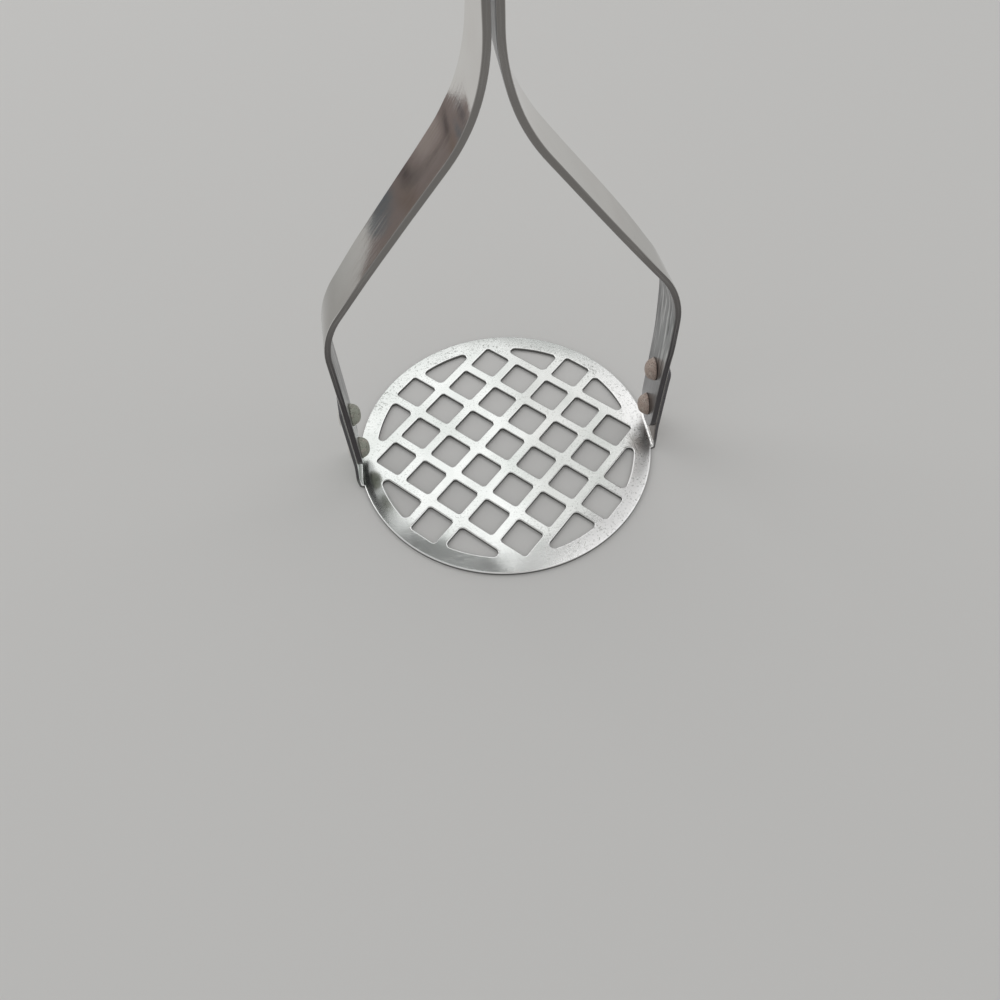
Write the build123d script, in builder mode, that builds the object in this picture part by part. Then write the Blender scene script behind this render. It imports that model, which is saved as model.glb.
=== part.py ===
from build123d import *
import os
from math import sqrt

# Potato masher: a round pierced plate, two bent strip arms riveted to its tabs, and a turned grip.
# Millimetres, +Z up. The plate's underside lies on Z = 0, centred on the origin, and the arms
# stand in the XZ plane, the right arm on +X.

os.makedirs("parts", exist_ok=True)

# Mashing plate
plate_diameter = 85.0
plate_gauge = 1.0
hole_rows = 5              # full rows each way in the middle of the lattice
hole_web = 2.7             # strip of metal between two holes
hole_corner_radius = 0.9
lattice_margin = 4.3       # from the outermost square holes to the plate's edge
rim_band = 4.9             # solid band between the cut rim holes and the plate's edge
rim_hole_corner_radius = 1.3
lattice_angle = 45.0       # degrees between the hole rows and the arms

# Tabs folded up from the plate
tab_root_flare = 1.55      # how much wider than the arm the fold is, on each side
tab_bend_radius = 1.0      # inside radius of the fold
tab_end_margin = 4.5       # from the upper rivet to the tab's top
tab_corner_radius = 1.5

# Strip arms
arm_width = 12.7
arm_gauge = 1.6
arm_edge_radius = 0.2
arm_foot_gap = 4.15        # from the plate to the arms' lower ends
elbow_height = 58.7        # where the upright and slanted runs would cross
elbow_radius = 23.0
neck_height = 111.5        # where the slanted run would meet the upright tang
neck_radius = 43.5
arm_gap = 0.75             # between the arms' tangs, which stand side by side

# Rivets that hold the arms to the tabs
rivet_spacing = 15.0
rivet_shank_diameter = 3.2
rivet_head_diameter = 5.8
rivet_head_height = 2.5
rivet_head_rim = 0.3
rivet_formed_diameter = 5.0
rivet_formed_height = 1.1
rivet_formed_rim = 0.3
rivet_clearance = 0.05     # between the rivet's shank and its holes, on the radius

# Grip, turned from wood
grip_bottom = 143.0
grip_length = 118.0
grip_neck_wall = 2.45      # wood left outside the tang's corners
grip_shoulder_step = 0.35  # how far the wood stands out past the ferrule
grip_belly_diameter = 26.5
grip_waist_diameter = 22.0
grip_pommel_diameter = 27.5
grip_pommel_radius = 11.0  # rounding of the grip's upper end
grip_belly_share = 0.33    # heights of the turned shape, as shares of the grip's length
grip_waist_share = 0.70
hang_hole_diameter = 6.5

# Ferrule round the grip's lower end
ferrule_length = 13.0
ferrule_wall = 0.9
ferrule_lip_gap = 0.9      # between the turned-in lip and the arms' corners
ferrule_clearance = 0.05

# Tang, the arms' ends inside the grip, and its pins
tang_length = 66.0         # above the grip's lower end
tang_clearance = 0.15
tang_end_gap = 1.0
pin_diameter = 3.2
pin_clearance = 0.05
pin_spacing = 26.0
pin_end_margin = 14.0      # from the tang's top to the upper pin

# Extra length of every cutting tool past the face that it leaves
overrun = 2.0

# Places worked out from the sizes above
plate_radius = plate_diameter / 2
hole_pitch = (plate_radius - lattice_margin + hole_web / 2) / (hole_rows / 2 + 1)
hole_side = hole_pitch - hole_web
tab_root_width = arm_width + 2 * tab_root_flare
fold_start = sqrt(plate_radius ** 2 - (tab_root_width / 2) ** 2)
tab_inner_x = fold_start + tab_bend_radius
tab_outer_x = tab_inner_x + plate_gauge
arm_inner_x = tab_inner_x - arm_gauge
arm_bottom = plate_gauge + arm_foot_gap
arm_top = grip_bottom + tang_length
rivet_heights = {
    "lower": arm_bottom + arm_width / 2,
    "upper": arm_bottom + arm_width / 2 + rivet_spacing,
}
tab_height = rivet_heights["upper"] + tab_end_margin
tang_reach = arm_gap / 2 + arm_gauge
tang_corner = sqrt((arm_width / 2) ** 2 + tang_reach ** 2)
grip_neck_radius = tang_corner + grip_neck_wall
grip_shoulder_radius = grip_neck_radius + ferrule_clearance + ferrule_wall + grip_shoulder_step
grip_top = grip_bottom + grip_length
pommel_height = grip_top - grip_pommel_radius
ferrule_bottom = grip_bottom - ferrule_wall - ferrule_clearance
pin_heights = {
    "lower": arm_top - pin_end_margin - pin_spacing,
    "upper": arm_top - pin_end_margin,
}
sides = {"left": -1, "right": 1}


def across(side, height):
    """Plane on one arm's inner face, with local x pointing outward and local y up."""
    return Plane(origin=(side * arm_inner_x, 0, height), x_dir=(side, 0, 0), z_dir=(0, -side, 0))


# Right tab: the sheet folded up, flared at its root and rounded at its top corners
with BuildPart() as tab:
    with BuildSketch(Plane.XZ):
        with BuildLine():
            Polyline(
                (fold_start - tab_bend_radius, 0),
                (tab_outer_x, 0),
                (tab_outer_x, tab_height),
                (tab_inner_x, tab_height),
                (tab_inner_x, plate_gauge),
                (fold_start - tab_bend_radius, plate_gauge),
                close=True,
            )
        profile = make_face()
        outer_corner = profile.vertices().group_by(Axis.Y)[0].sort_by(Axis.X)[-1]
        inner_corner = profile.vertices().group_by(Axis.Y)[1].sort_by(Axis.X)[-1]
        fillet(outer_corner, tab_bend_radius + plate_gauge)
        fillet(inner_corner, tab_bend_radius)
    extrude(amount=tab_root_width / 2, both=True)
    with BuildSketch(Plane.YZ):
        with BuildLine():
            flare_top = plate_gauge + tab_root_flare
            Polyline(
                (tab_root_width / 2, plate_gauge),
                (tab_root_width / 2, 0),
                (-tab_root_width / 2, 0),
                (-tab_root_width / 2, plate_gauge),
            )
            RadiusArc((-tab_root_width / 2, plate_gauge), (-arm_width / 2, flare_top), tab_root_flare)
            FilletPolyline(
                (-arm_width / 2, flare_top),
                (-arm_width / 2, tab_height),
                (arm_width / 2, tab_height),
                (arm_width / 2, flare_top),
                radius=tab_corner_radius,
            )
            RadiusArc((arm_width / 2, flare_top), (tab_root_width / 2, plate_gauge), tab_root_flare)
        make_face()
    extrude(amount=plate_diameter, mode=Mode.INTERSECT)

# Two holes of the rim ring: in each, two cells of the lattice run together, cut by the rim band
with BuildSketch() as rim_holes:
    rim_hole_start = hole_pitch - hole_side / 2
    rim_hole_base = (hole_rows + 1) / 2 * hole_pitch - hole_side / 2
    with Locations((rim_hole_start, rim_hole_base)):
        Rectangle(2 * hole_pitch, 2 * hole_pitch, align=(Align.MIN, Align.MIN))
    Circle(plate_radius - rim_band, mode=Mode.INTERSECT)
    fillet(rim_holes.vertices(), rim_hole_corner_radius)
    mirror(about=Plane.YZ)

with BuildPart() as mashing_plate:
    with BuildSketch():
        Circle(plate_radius)
        Rectangle(2 * fold_start, plate_diameter, mode=Mode.INTERSECT)
    extrude(amount=plate_gauge)
    add(tab.part)
    mirror(tab.part, about=Plane.YZ)
    with BuildSketch(Plane.XY.offset(plate_gauge).rotated((0, 0, lattice_angle))):
        with GridLocations(hole_pitch, hole_pitch, hole_rows, hole_rows):
            RectangleRounded(hole_side, hole_side, hole_corner_radius)
        with PolarLocations((hole_rows + 1) / 2 * hole_pitch, 4):
            RectangleRounded(hole_side, hole_side, hole_corner_radius)
        with PolarLocations(0, 4):
            add(rim_holes.sketch)
    extrude(amount=-plate_gauge, mode=Mode.SUBTRACT)
    for height in rivet_heights.values():
        with BuildSketch(Plane.YZ):
            with Locations((0, height)):
                Circle(rivet_shank_diameter / 2 + rivet_clearance)
        extrude(amount=tab_outer_x + overrun, both=True, mode=Mode.SUBTRACT)
mashing_plate.part.label = "mashing_plate"
export_step(mashing_plate.part, "parts/mashing_plate.step")

# Arms: one strip each, bent twice in its own plane and rounded at both ends
with BuildPart() as right_arm:
    with BuildSketch(Plane.XZ):
        with BuildLine():
            FilletPolyline(
                (arm_inner_x, arm_bottom),
                (arm_inner_x, elbow_height),
                (arm_gap / 2, neck_height),
                (arm_gap / 2, arm_top),
                radius=[elbow_radius, neck_radius],
            )
            offset(amount=arm_gauge, side=Side.RIGHT)
        make_face()
    extrude(amount=arm_width / 2, both=True)
    with BuildSketch(Plane.YZ):
        with Locations((0, (arm_bottom + arm_top) / 2)):
            SlotOverall(arm_top - arm_bottom, arm_width, rotation=90)
    extrude(amount=plate_diameter, mode=Mode.INTERSECT)
    fillet(right_arm.faces().filter_by(Axis.X).edges(), arm_edge_radius)
    for height in rivet_heights.values():
        with BuildSketch(Plane.YZ.offset(arm_inner_x - overrun)):
            with Locations((0, height)):
                Circle(rivet_shank_diameter / 2 + rivet_clearance)
        extrude(amount=arm_gauge + 2 * overrun, mode=Mode.SUBTRACT)
    for height in pin_heights.values():
        with BuildSketch(Plane.YZ):
            with Locations((0, height)):
                Circle(pin_diameter / 2 + pin_clearance)
        extrude(amount=tang_reach + overrun, both=True, mode=Mode.SUBTRACT)
right_arm.part.label = "right_arm"
export_step(right_arm.part, "parts/right_arm.step")

with BuildPart() as left_arm:
    mirror(right_arm.part, about=Plane.YZ)
left_arm.part.label = "left_arm"
export_step(left_arm.part, "parts/left_arm.step")

# Rivets: a round head inside, and a flatter head formed over the tab outside
rivet_grip = arm_gauge + plate_gauge
for side_name, side in sides.items():
    for height_name, height in rivet_heights.items():
        plane = across(side, height)
        with BuildPart() as rivet:
            with BuildSketch(plane):
                with BuildLine():
                    shank_radius = rivet_shank_diameter / 2
                    head_edge = (-rivet_head_rim, rivet_head_diameter / 2)
                    formed_edge = (rivet_grip + rivet_formed_rim, rivet_formed_diameter / 2)
                    head_top = (-rivet_head_height, 0)
                    formed_top = (rivet_grip + rivet_formed_height, 0)
                    Polyline(
                        head_edge,
                        (0, rivet_head_diameter / 2),
                        (0, shank_radius),
                        (rivet_grip, shank_radius),
                        (rivet_grip, rivet_formed_diameter / 2),
                        formed_edge,
                    )
                    TangentArc(head_top, head_edge, tangent=(0, 1))
                    TangentArc(formed_top, formed_edge, tangent=(0, 1))
                    Line(head_top, formed_top)
                make_face()
            revolve(axis=Axis(plane.origin, plane.x_dir))
        rivet_name = f"{side_name}_{height_name}_rivet"
        rivet.part.label = rivet_name
        export_step(rivet.part, f"parts/{rivet_name}.step")

# Grip as it comes off the lathe: neck for the ferrule, belly, waist and rounded pommel
with BuildPart() as turned_grip:
    with BuildSketch(Plane.XZ):
        with BuildLine():
            shoulder_height = ferrule_bottom + ferrule_length
            shoulder = (grip_shoulder_radius, shoulder_height)
            pommel = (grip_pommel_diameter / 2, pommel_height)
            Polyline(
                (0, grip_bottom),
                (grip_neck_radius, grip_bottom),
                (grip_neck_radius, shoulder_height),
                shoulder,
            )
            Spline(
                shoulder,
                (grip_belly_diameter / 2, grip_bottom + grip_belly_share * grip_length),
                (grip_waist_diameter / 2, grip_bottom + grip_waist_share * grip_length),
                pommel,
                tangents=[(grip_belly_diameter / 2 - shoulder[0], grip_belly_diameter / 2), (0, 1)],
            )
            CenterArc((pommel[0] - grip_pommel_radius, pommel_height), grip_pommel_radius, 0, 90)
            Polyline((pommel[0] - grip_pommel_radius, grip_top), (0, grip_top), (0, grip_bottom))
        make_face()
    revolve(axis=Axis.Z)

# Grip: the turned shape with its mortise for the tang, its pin holes and its hang hole
with BuildPart() as grip:
    add(turned_grip.part)
    with BuildSketch(Plane.XY.offset(grip_bottom)):
        Rectangle(2 * (tang_reach + tang_clearance), arm_width + 2 * tang_clearance)
    extrude(amount=tang_length + tang_end_gap, mode=Mode.SUBTRACT)
    for height in pin_heights.values():
        with BuildSketch(Plane.YZ):
            with Locations((0, height)):
                Circle(pin_diameter / 2 + pin_clearance)
        extrude(amount=grip_pommel_diameter, both=True, mode=Mode.SUBTRACT)
    with BuildSketch(Plane.XZ):
        with Locations((0, pommel_height)):
            Circle(hang_hole_diameter / 2)
    extrude(amount=grip_pommel_diameter, both=True, mode=Mode.SUBTRACT)
grip.part.label = "grip"
export_step(grip.part, "parts/grip.step")

# Pins: driven through the wood and both tangs, then sanded flush with the wood
for height_name, height in pin_heights.items():
    with BuildPart() as pin:
        with BuildSketch(Plane.YZ):
            with Locations((0, height)):
                Circle(pin_diameter / 2)
        extrude(amount=grip_pommel_diameter, both=True)
        add(turned_grip.part, mode=Mode.INTERSECT)
    pin_name = f"{height_name}_grip_pin"
    pin.part.label = pin_name
    export_step(pin.part, f"parts/{pin_name}.step")

# Ferrule: a pressed ring with its lower edge turned in under the wood
with BuildPart() as ferrule:
    with BuildSketch(Plane.XZ):
        with BuildLine():
            bore_radius = grip_neck_radius + ferrule_clearance
            skin_radius = bore_radius + ferrule_wall
            lip_radius = tang_corner + ferrule_lip_gap
            ferrule_top = ferrule_bottom + ferrule_length
            Polyline(
                (lip_radius, ferrule_bottom + ferrule_wall),
                (lip_radius, ferrule_bottom),
                (skin_radius, ferrule_bottom),
                (skin_radius, ferrule_top),
                (bore_radius, ferrule_top),
                (bore_radius, ferrule_bottom + ferrule_wall),
                close=True,
            )
        ring = make_face()
        fillet(ring.vertices().group_by(Axis.Y)[0].sort_by(Axis.X)[-1], ferrule_wall)
    revolve(axis=Axis.Z)
ferrule.part.label = "ferrule"
export_step(ferrule.part, "parts/ferrule.step")
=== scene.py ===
import math
import bpy
import numpy as np
from mathutils import Matrix, Vector
from mathutils.geometry import delaunay_2d_cdt


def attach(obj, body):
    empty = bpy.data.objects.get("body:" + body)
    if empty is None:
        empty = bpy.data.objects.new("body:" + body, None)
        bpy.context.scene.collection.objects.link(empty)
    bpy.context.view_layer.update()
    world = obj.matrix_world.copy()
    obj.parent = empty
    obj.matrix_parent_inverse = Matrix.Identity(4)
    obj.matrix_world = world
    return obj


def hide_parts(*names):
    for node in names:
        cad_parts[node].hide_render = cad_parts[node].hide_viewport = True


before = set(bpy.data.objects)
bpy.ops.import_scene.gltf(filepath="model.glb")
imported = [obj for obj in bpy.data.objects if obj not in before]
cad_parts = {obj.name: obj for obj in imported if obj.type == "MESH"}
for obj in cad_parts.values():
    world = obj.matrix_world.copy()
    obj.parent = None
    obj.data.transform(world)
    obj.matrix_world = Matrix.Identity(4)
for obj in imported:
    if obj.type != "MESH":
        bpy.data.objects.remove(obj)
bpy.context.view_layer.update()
print("frame loaded,", len(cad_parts), "nodes")

# Camera, from a fit to the plate's holes and rim and the arms' edges in the photograph
viewpoint = {
    "focalPixels": 841.4,
    "framePixels": 1000,
    "azimuth": -5.78,
    "elevation": 57.85,
    "roll": 2.87,
    "target": (-0.00419, -0.01890, 0.0010),
    "distance": 0.23695,
}


def aimCamera(view):
    azimuth, elevation, roll = (math.radians(view[k]) for k in ("azimuth", "elevation", "roll"))
    back = Vector((math.sin(azimuth) * math.cos(elevation),
                   -math.cos(azimuth) * math.cos(elevation), math.sin(elevation)))
    right = Vector((0, 0, 1)).cross(back).normalized()
    up = back.cross(right)
    # the picture is turned by the roll: its right leans down, its up leans right
    tiltedRight = right * math.cos(roll) - up * math.sin(roll)
    tiltedUp = up * math.cos(roll) + right * math.sin(roll)
    camera = bpy.data.objects.new("camera", bpy.data.cameras.new("camera"))
    bpy.context.scene.collection.objects.link(camera)
    camera.data.sensor_width = 36
    camera.data.lens = 36 * view["focalPixels"] / view["framePixels"]
    camera.data.clip_start = 0.01
    camera.data.clip_end = 20
    turn = Matrix((tiltedRight, tiltedUp, back)).transposed()
    camera.matrix_world = Matrix.Translation(Vector(view["target"]) + back * view["distance"]) @ turn.to_4x4()
    bpy.context.scene.camera = camera


aimCamera(viewpoint)
print("camera placed")


# Shared mesh code


def addPiece(name, points, faces, normals=None, body="root"):
    mesh = bpy.data.meshes.new(name)
    mesh.from_pydata(np.asarray(points).tolist(), [], [list(map(int, f)) for f in faces])
    mesh.polygons.foreach_set("use_smooth", np.ones(len(mesh.polygons), bool))
    if normals is not None:
        mesh.normals_split_custom_set_from_vertices(np.asarray(normals).tolist())
    piece = bpy.data.objects.new(name, mesh)
    bpy.context.scene.collection.objects.link(piece)
    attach(piece, body)
    return piece


# Points round an arc: centre plus radius times cosine and sine of evenly spaced angles in degrees
def arc(centre, radius, fromAngle, toAngle, steps):
    angle = np.radians(np.linspace(fromAngle, toAngle, steps))
    return np.stack([centre[0] + radius * np.cos(angle), centre[1] + radius * np.sin(angle)], 1)


# Quads between each row of a grid and the next: corners (r, c), (r, c+1), (r+1, c+1), (r+1, c)
def gridFaces(rows, columns, closeColumns=True, closeRows=False):
    r = np.arange(rows if closeRows else rows - 1)[:, None]
    c = np.arange(columns if closeColumns else columns - 1)[None, :]
    nextRow, nextColumn = (r + 1) % rows, (c + 1) % columns
    corners = [r * columns + c, r * columns + nextColumn,
               nextRow * columns + nextColumn, nextRow * columns + c]
    return np.stack(np.broadcast_arrays(*corners), -1).reshape(-1, 4)


# Which places lie in the metal: a line drawn to the right from each crosses the loops an odd number of times
def inMetal(places, starts, ends):
    x, y = places[:, 0:1], places[:, 1:2]
    spans = (starts[None, :, 1] > y) != (ends[None, :, 1] > y)
    climb = np.where(ends[:, 1] == starts[:, 1], 1.0, ends[:, 1] - starts[:, 1])
    meets = starts[None, :, 0] + (y - starts[None, :, 1]) / climb * (ends[:, 0] - starts[:, 0])
    return (spans & (meets > x)).sum(1) % 2 == 1


# A sheet of even gauge cut by loops. Each loop's edge is one section, rolled over at the top by the
# punch and nearly square below, carried round the loop: point = loop - outward * inset, at the
# section's height. The flat faces are triangulated between the loops, with cross rows where the
# sheet will bend. Outer loops run anticlockwise and holes clockwise, so outward is always on the
# right hand. Returns points, normals and faces of the flat sheet, and three marks for its material:
# the rolled edge, the cut side and the underside.
def cutSheet(loops, gauge, roll, burr, crossRows):
    angle = np.radians(np.linspace(90, 0, 7))
    lowAngle = np.radians(np.linspace(0, -90, 4))
    inset = np.concatenate([roll[0] * (1 - np.cos(angle)), burr * (1 - np.cos(lowAngle))])
    height = np.concatenate([gauge - roll[1] * (1 - np.sin(angle)), burr * (1 + np.sin(lowAngle))])
    across = np.concatenate([np.cos(angle) / roll[0], np.cos(lowAngle)])
    upward = np.concatenate([np.sin(angle) / roll[1], np.sin(lowAngle)])
    length = np.hypot(across, upward)
    across, upward = across / length, upward / length
    rows = len(inset)

    points, normals, faces, marks = [], [], [], []
    topIds, lowIds, rims, start = [], [], [], 0
    for loop in loops:
        tangent = np.roll(loop, -1, 0) - np.roll(loop, 1, 0)
        tangent /= np.linalg.norm(tangent, axis=1)[:, None]
        outward = np.stack([tangent[:, 1], -tangent[:, 0]], 1)
        flat = loop[None] - outward[None] * inset[:, None, None]
        z = np.broadcast_to(height[:, None, None], (rows, len(loop), 1))
        points.append(np.concatenate([flat, z], 2).reshape(-1, 3))
        side = outward[None] * across[:, None, None]
        lift = np.broadcast_to(upward[:, None, None], (rows, len(loop), 1))
        normals.append(np.concatenate([side, lift], 2).reshape(-1, 3))
        rolled = (upward > 0.05) & (upward < 0.97)
        cut = np.abs(upward) < 0.05
        marks.append(np.repeat(np.stack([rolled, cut, upward < -0.05], 1).astype(float), len(loop), 0))
        faces.append(gridFaces(rows, len(loop))[:, ::-1] + start)
        ids = np.arange(len(loop)) + start
        topIds.append(ids)
        lowIds.append(ids + (rows - 1) * len(loop))
        rims.append(len(loop))
        start += rows * len(loop)

    extra = np.concatenate(crossRows) if crossRows else np.zeros((0, 2))
    for level, up, ringIds in ((gauge, 1.0, topIds), (0.0, -1.0, lowIds)):
        ringPoints = np.concatenate(points)[np.concatenate(ringIds)][:, :2]
        extraIds = np.arange(len(extra)) + start
        points.append(np.column_stack([extra, np.full(len(extra), level)]))
        normals.append(np.tile([0.0, 0.0, up], (len(extra), 1)))
        marks.append(np.tile([0.0, 0.0, float(up < 0)], (len(extra), 1)))
        start += len(extra)
        flat = np.concatenate([ringPoints, extra])
        globalIds = np.concatenate(ringIds + [extraIds])
        edges, at = [], 0
        for count in rims:
            ring = np.arange(count) + at
            edges.append(np.stack([ring, np.roll(ring, -1)], 1))
            at += count
        for row in crossRows:
            line = np.arange(len(row)) + at
            edges.append(np.stack([line[:-1], line[1:]], 1))
            at += len(row)
        allEdges = np.concatenate(edges).tolist()
        # the triangulation works in millimetres, and its vertices are traced back to the sheet's own
        found = delaunay_2d_cdt([Vector(p) for p in flat * 1000], allEdges, [], 2, 1e-6, True)
        trace = np.array([ids[0] for ids in found[3]])
        triangles = trace[np.array(found[2])]
        rings = np.concatenate(edges[:len(rims)])
        kept = triangles[inMetal(flat[triangles].mean(1), flat[rings[:, 0]], flat[rings[:, 1]])]
        faces.append(globalIds[kept if up > 0 else kept[:, ::-1]])
    return (np.concatenate(points), np.concatenate(normals),
            [f for block in faces for f in block], np.concatenate(marks))


# Gives a sheet's marks to its mesh, for the material to read
def keepMarks(piece, marks):
    for k, name in enumerate(("rolledEdge", "cutSide", "underside")):
        layer = piece.data.attributes.new(name, "FLOAT", "POINT")
        layer.data.foreach_set("value", marks[:, k].astype(np.float32))


# How the real arms stand off from straight: at each height, the turn about their own length in degrees,
# far edge outward, and the shift outward in millimetres
stance = {
    "heights": (0, 2.5, 8, 12, 27, 35, 40, 45, 50, 58, 62, 66, 70, 75, 80, 85, 90, 95, 100, 105, 110, 115,
                120, 128, 142),
    "turn": {-1: (0, 0, 4.3, 4.2, 3.9, 3.7, 3.6, 3.5, 3.0, 0.5, -0.2, 0.5, 1.4, 2.0, 2.3, 2.8, 3.2, 3.8, 4.9,
                  6.2, 6.2, 6.4, 6.6, 6.8, 0),
             1: (0, 0, 2.4, 2.4, 2.4, 1.2, -0.8, -2.0, -3.0, -5.0, -5.5, -4.5, -2.4, -0.6, 0.2, 0.4, 0.2, 0, 0.2,
                 0.4, -0.3, -1.0, -0.6, 0.7, 0)},
    "shift": {-1: (0, 0, 0, 0, 0, 0, 0, 0, 0, 0, 0.05, 0.12, 0.25, 0.4, 0.45, 0.42, 0.4, 0.3, 0.2, 0.1, 0, 0,
                   0, 0, 0),
              1: (0, 0, 0.05, 0.15, 0.35, 0.5, 0.6, 0.5, 0.4, 0.1, 0.05, 0, -0.1, -0.2, -0.3, -0.35, -0.35,
                  -0.35, -0.35, -0.3, -0.25, -0.15, -0.1, 0, 0)},
    "pivotHeights": (0.030, 0.075),
    "pivots": (0.0, -0.00635),
}


# Turns a strip's cross direction and its outward direction by the stance at that height, and shifts it
def takeStance(side, base, outward, sideways, lift):
    height = base[:, 2]
    angle = np.radians(np.interp(height * 1000, stance["heights"], stance["turn"][side]))[:, None]
    shift = np.interp(height * 1000, stance["heights"], stance["shift"][side]) / 1000
    pivot = np.interp(height, stance["pivotHeights"], stance["pivots"])[:, None]
    cross = np.array([[0.0, 1.0, 0.0]])
    turnedCross = cross * np.cos(angle) + outward * np.sin(angle)
    turnedOut = outward * np.cos(angle) - cross * np.sin(angle)
    where = base + cross * pivot + turnedCross * (sideways[:, None] - pivot) + turnedOut * lift[:, None]
    where[:, 0] += side * shift
    return where, turnedCross, turnedOut


arm = {
    "width": 0.0127,
    "gauge": 0.0016,
    "innerX": 0.04115,
    "foot": 0.00515,
    "top": 0.2090,
    "elbow": 0.0587,
    "elbowRadius": 0.0230,
    "neck": 0.1115,
    "neckRadius": 0.0435,
    "gap": 0.00075,
    "edgeRoll": (0.00014, 0.00014),
    "burr": 0.00014,
    "rivetHeights": (0.0115, 0.0265),
    "rivetHoleRadius": 0.00165,
    "rivetShift": {-1: (-0.0014, -0.0012), 1: (0.0, 0.0)},   # real left rivets sit low and near: along, across
    "finePart": ((0.045, 0.047), (0.132, 0.135)),   # heights where the edge's points grow dense and sparse again
    "crossRowsBetween": (0.030, 0.160),
    "pinHeights": (0.1690, 0.1950),
    "pinHoleRadius": 0.00165,
}


# Plate

plate = {
    "radius": 0.0425,
    "gauge": 0.0010,
    "rows": 5,
    "web": 0.0027,
    "latticeMargin": 0.0043,
    "cornerRadius": 0.0009,
    "rimBand": 0.0049,
    "rimCornerRadius": 0.0013,
    "latticeTurn": 45,
    "tabHalfWidth": 0.00635,
    "rootFlare": 0.00155,
    "shoulder": 0.00050,
    "tabTop": 0.0310,
    "tabCornerRadius": 0.0015,
    "foldRadius": 0.0010,
    "punchRoll": (0.00036, 0.00020),
    "crown": 0.00035,             # how far the real sheet's middle stands above its rim
    "crownPower": 6,
    "lean": (-0.03, -0.02),       # slope left in it by folding the tabs, for its shading alone
    "flatBelow": 0.0015,          # height under which a point belongs to the flat part
    "fadeWidth": 0.0012,
    "rowsPastFold": (0.0006, 0.0015, 0.003, 0.0045, 0.006),
    "burr": 0.00008,
}
rootHalfWidth = plate["tabHalfWidth"] + plate["rootFlare"]
foldStart = math.sqrt(plate["radius"] ** 2 - rootHalfWidth ** 2)
bendRadius = plate["foldRadius"] + plate["gauge"] / 2
bendLength = bendRadius * math.pi / 2
straightStart = foldStart + bendLength - bendRadius - plate["gauge"] / 2   # flat x of height 0 on the tab


# Folds the flat sheet's two ends up: x past the fold line runs round a quarter arc and then up
def foldTabs(points, normals):
    side = np.sign(points[:, 0])
    past = np.maximum(np.abs(points[:, 0]) - foldStart, 0)
    angle = np.minimum(past / bendRadius, math.pi / 2)
    over = points[:, 2] - plate["gauge"] / 2
    climb = np.maximum(past - bendLength, 0)
    x = np.minimum(np.abs(points[:, 0]), foldStart) + (bendRadius - over) * np.sin(angle)
    z = plate["gauge"] / 2 + bendRadius - (bendRadius - over) * np.cos(angle) + climb
    along = np.stack([side * np.cos(angle), np.zeros_like(angle), np.sin(angle)], 1)
    above = np.stack([-side * np.sin(angle), np.zeros_like(angle), np.cos(angle)], 1)
    folded = np.stack([side * x, points[:, 1], z], 1)
    turned = (along * (side * normals[:, 0])[:, None] + above * normals[:, 2:3]
              + np.array([[0, 1.0, 0]]) * normals[:, 1:2])
    # the tabs lean with the arms: rotate the upright part about its own middle line
    tabMiddle = foldStart + bendRadius
    for way in (-1, 1):
        pick = (side == way) & (past > 0)
        if not pick.any():
            continue
        base = np.stack([np.full(pick.sum(), way * tabMiddle), np.zeros(pick.sum()), folded[pick, 2]], 1)
        outward = np.array([[float(way), 0, 0]])
        where, cross, out = takeStance(way, base, outward, folded[pick, 1],
                                    way * folded[pick, 0] - tabMiddle)
        folded[pick] = where
        bent = turned[pick]
        turned[pick] = (out * (way * bent[:, 0:1]) + cross * bent[:, 1:2]
                        + np.array([[0, 0, 1.0]]) * bent[:, 2:3])
    return folded, turned


# Bows the sheet a little, as the real one is: height = crown * (1 - (radius / rim radius) ^ power), and
# the normals turn by the slope of that
def bowPlate(points, normals):
    radius = np.hypot(points[:, 0], points[:, 1])
    share = np.minimum(radius / plate["radius"], 1)
    power, crown = plate["crownPower"], plate["crown"]
    slope = np.where(share < 1, crown * power / plate["radius"] * share ** (power - 1), 0)
    away = points[:, :2] / np.maximum(radius, 1e-6)[:, None]
    lift = crown * (1 - share ** power)
    onFlat = points[:, 2] < plate["flatBelow"]
    fade = np.clip((plate["radius"] * 1.01 - radius) / plate["fadeWidth"], 0, 1) * onFlat
    tilt = (away * slope[:, None] + np.array([plate["lean"]])) * fade[:, None]
    bowed = points + np.stack([np.zeros_like(lift), np.zeros_like(lift), lift * onFlat], 1)
    turned = normals.copy()
    turned[:, :2] += tilt * normals[:, 2:3]
    turned[:, 2] -= (tilt * normals[:, :2]).sum(1)
    return bowed, turned / np.linalg.norm(turned, axis=1)[:, None]


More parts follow.
